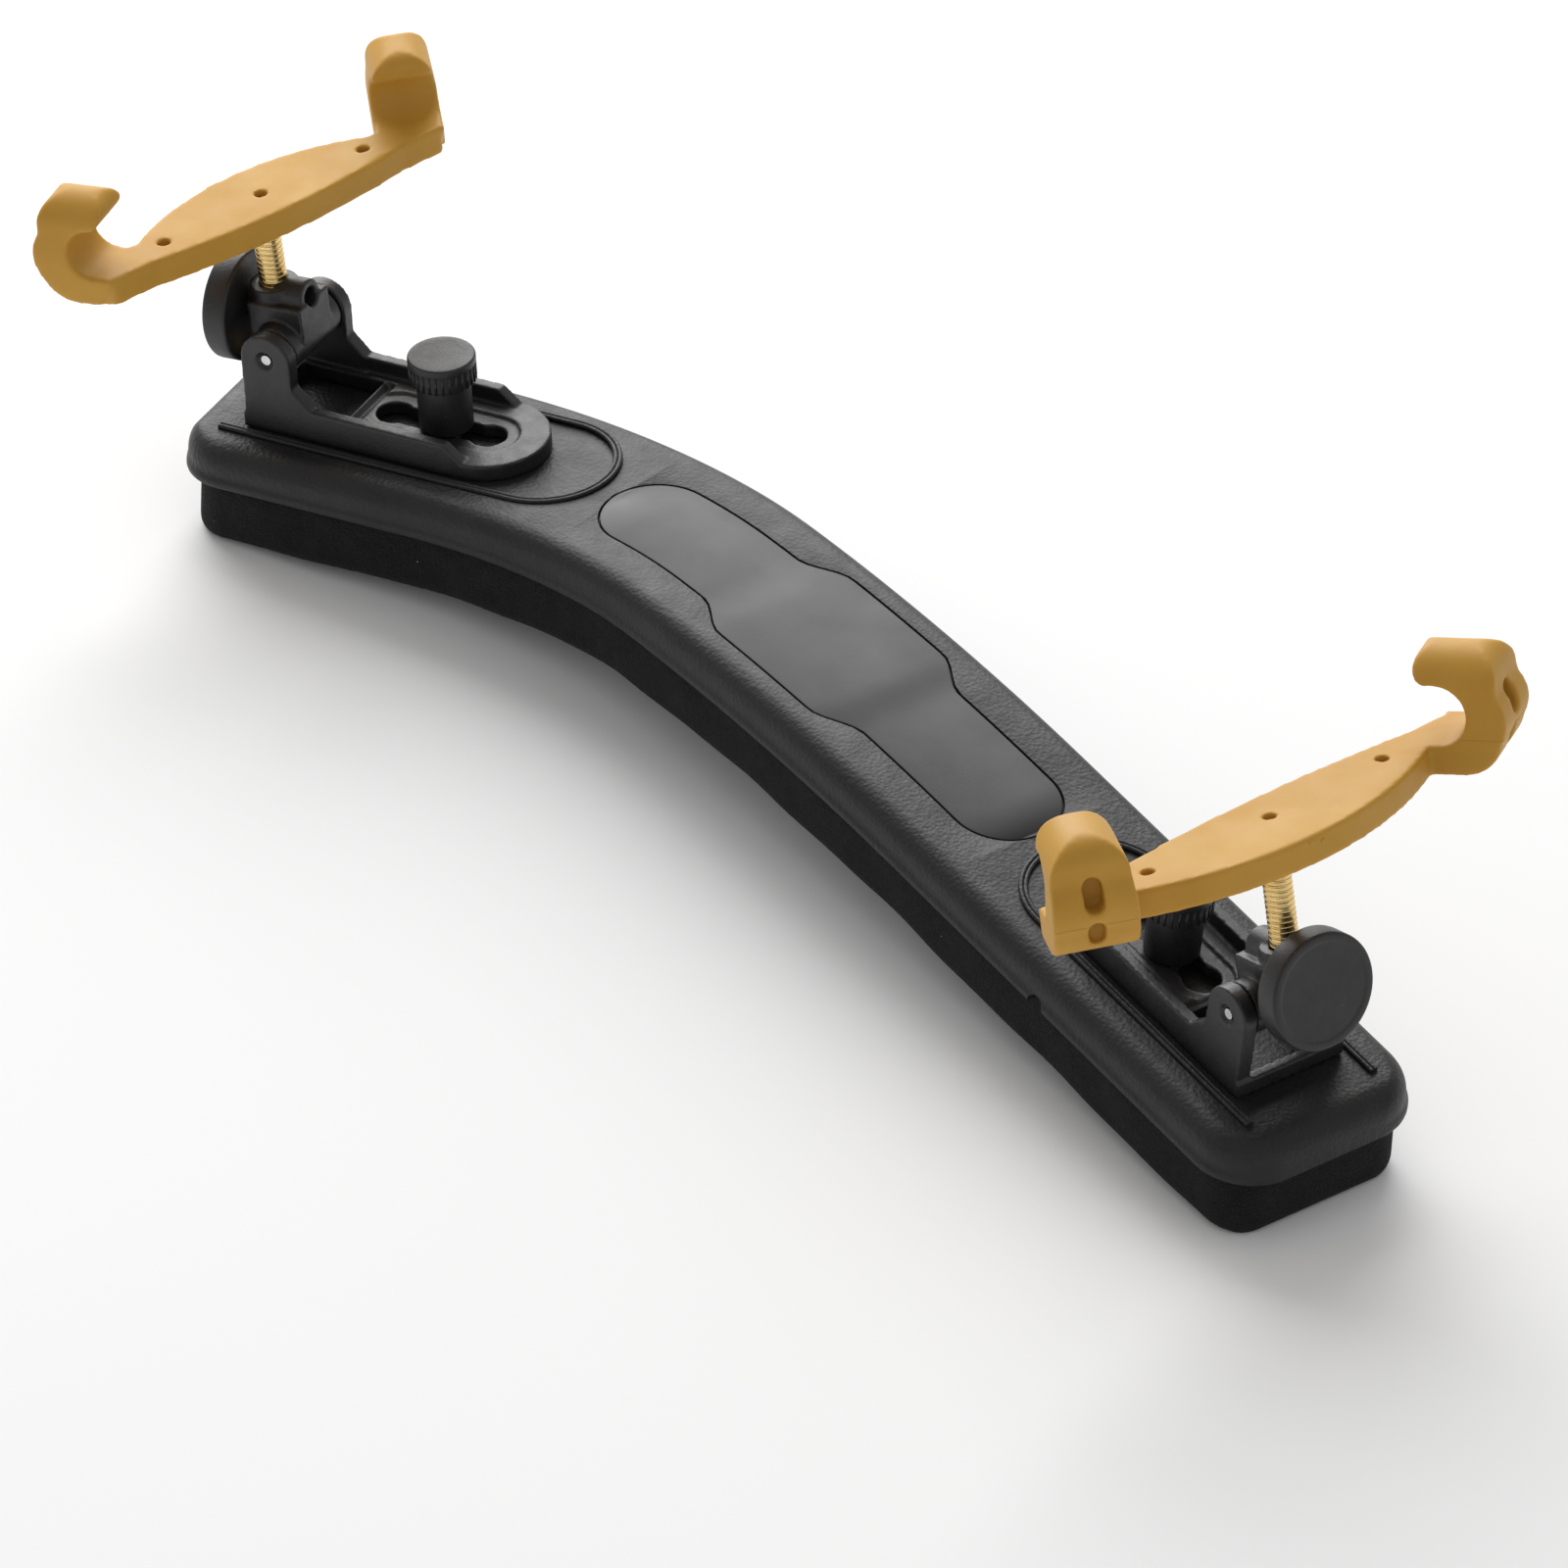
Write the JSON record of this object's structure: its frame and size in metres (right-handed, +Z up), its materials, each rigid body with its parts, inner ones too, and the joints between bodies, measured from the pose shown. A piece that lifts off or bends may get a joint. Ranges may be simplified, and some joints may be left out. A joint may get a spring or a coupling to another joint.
{
  "type": "violin shoulder rest",
  "caption": "Violin shoulder rest: arched padded bar with sliding brackets, folding legs, height-adjusting screw posts and rubber-covered forks.",
  "frame": {"origin": "centre of the rest's outline seen from above, on the surface the pad lies on", "axes": "+X along the rest from its left end to its right end, +Y to its far long side, +Z up from the surface it lies on to the forks"},
  "size_m": [0.2454, 0.0892, 0.0737],
  "materials": {
    "grained_black": "fine leather grain, semi-matt",
    "satin_black": "smooth satin",
    "black_nylon": "satin moulded",
    "foam": "velvety soft foam",
    "steel": "turned",
    "brass": "threaded, bright",
    "amber_rubber": "satin, slightly translucent"
  },
  "bodies": {
    "base": {"base_shell": "grained_black", "foam_pad": "foam", "top_panel": "satin_black", "left_clamp_nut": "steel", "right_clamp_nut": "steel"},
    "left_bracket_body": {"left_bracket": "black_nylon", "left_hinge_pins": "steel"},
    "left_stud_body": {"left_clamp_stud": "steel"},
    "left_knob_body": {"left_clamp_knob": "black_nylon"},
    "left_block_body": {"left_hinge_block": "black_nylon", "left_socket_bush": "brass"},
    "left_screw_body": {"left_lock_screw": "steel"},
    "left_wheel_body": {"left_thumbwheel": "black_nylon"},
    "left_post_body": {"left_post": "brass"},
    "left_fork_body": {"left_fork_core": "steel", "left_fork_cover": "amber_rubber"},
    "right_bracket_body": {"right_bracket": "black_nylon", "right_hinge_pins": "steel"},
    "right_stud_body": {"right_clamp_stud": "steel"},
    "right_knob_body": {"right_clamp_knob": "black_nylon"},
    "right_block_body": {"right_hinge_block": "black_nylon", "right_socket_bush": "brass"},
    "right_screw_body": {"right_lock_screw": "steel"},
    "right_wheel_body": {"right_thumbwheel": "black_nylon"},
    "right_post_body": {"right_post": "brass"},
    "right_fork_body": {"right_fork_core": "steel", "right_fork_cover": "amber_rubber"}
  },
  "joints": [
    {"name": "left_bracket_slide", "type": "slide", "parent": "base", "child": "left_bracket_body", "axis": [-0.9433, -0.3184, -0.0941], "range_m": [-0.0088, 0.007]},
    {"name": "left_stud_lift", "type": "slide", "parent": "base", "child": "left_stud_body", "axis": [-0.0892, -0.0301, 0.9956], "range_m": [0, 0.0021]},
    {"name": "left_knob_turn", "type": "hinge", "parent": "left_stud_body", "child": "left_knob_body", "pos_m": [-0.07797, 0.01029, 0.0206], "axis": [-0.0892, -0.0301, 0.9956], "range_deg": [0, 1080]},
    {"name": "left_leg_fold", "type": "hinge", "parent": "left_bracket_body", "child": "left_block_body", "pos_m": [-0.10276, 0.00192, 0.03069], "axis": [-0.3198, 0.9475, 0], "range_deg": [-5, 52]},
    {"name": "left_screw_travel", "type": "slide", "parent": "left_block_body", "child": "left_screw_body", "axis": [-0.9361, -0.316, -0.1547], "range_m": [0, 0.001]},
    {"name": "left_thumbwheel_turn", "type": "hinge", "parent": "left_screw_body", "child": "left_wheel_body", "pos_m": [-0.10326, 0.00175, 0.03404], "axis": [-0.9361, -0.316, -0.1547], "range_deg": [0, 720]},
    {"name": "left_post_lift", "type": "slide", "parent": "left_block_body", "child": "left_post_body", "axis": [-0.1466, -0.0495, 0.988], "range_m": [-0.0036, 0.006]},
    {"name": "left_fork_turn", "type": "hinge", "parent": "left_post_body", "child": "left_fork_body", "pos_m": [-0.10529, 0.00107, 0.03027], "axis": [-0.1466, -0.0495, 0.988], "range_deg": [-1620, 2700]},
    {"name": "right_bracket_slide", "type": "slide", "parent": "base", "child": "right_bracket_body", "axis": [0.9878, -0.1239, -0.0941], "range_m": [-0.007, 0.0088]},
    {"name": "right_stud_lift", "type": "slide", "parent": "base", "child": "right_stud_body", "axis": [0.0934, -0.0117, 0.9956], "range_m": [0, 0.0021]},
    {"name": "right_knob_turn", "type": "hinge", "parent": "right_stud_body", "child": "right_knob_body", "pos_m": [0.08343, 0.00254, 0.0206], "axis": [0.0934, -0.0117, 0.9956], "range_deg": [0, 1080]},
    {"name": "right_leg_fold", "type": "hinge", "parent": "right_bracket_body", "child": "right_block_body", "pos_m": [0.10761, -0.0005, 0.03085], "axis": [-0.1244, -0.9922, 0], "range_deg": [-29, 30]},
    {"name": "right_screw_travel", "type": "slide", "parent": "right_block_body", "child": "right_screw_body", "axis": [0.9575, -0.1201, 0.2622], "range_m": [0, 0.001]},
    {"name": "right_thumbwheel_turn", "type": "hinge", "parent": "right_screw_body", "child": "right_wheel_body", "pos_m": [0.10673, -0.00038, 0.03414], "axis": [0.9575, -0.1201, 0.2622], "range_deg": [0, 720]},
    {"name": "right_post_lift", "type": "slide", "parent": "right_block_body", "child": "right_post_body", "axis": [-0.2602, 0.0326, 0.965], "range_m": [-0.0076, 0.0016]},
    {"name": "right_fork_turn", "type": "hinge", "parent": "right_post_body", "child": "right_fork_body", "pos_m": [0.1102, -0.00082, 0.03156], "axis": [-0.2602, 0.0326, 0.965], "range_deg": [-3420, 720]}
  ],
  "couplings": [
    {"joint": "left_knob_turn", "follows": "left_stud_lift", "rad_per_m": 8976},
    {"joint": "left_thumbwheel_turn", "follows": "left_screw_travel", "rad_per_m": 12566},
    {"joint": "left_fork_turn", "follows": "left_post_lift", "rad_per_m": 7854},
    {"joint": "right_knob_turn", "follows": "right_stud_lift", "rad_per_m": 8976},
    {"joint": "right_thumbwheel_turn", "follows": "right_screw_travel", "rad_per_m": 12566},
    {"joint": "right_fork_turn", "follows": "right_post_lift", "rad_per_m": 7854}
  ]
}
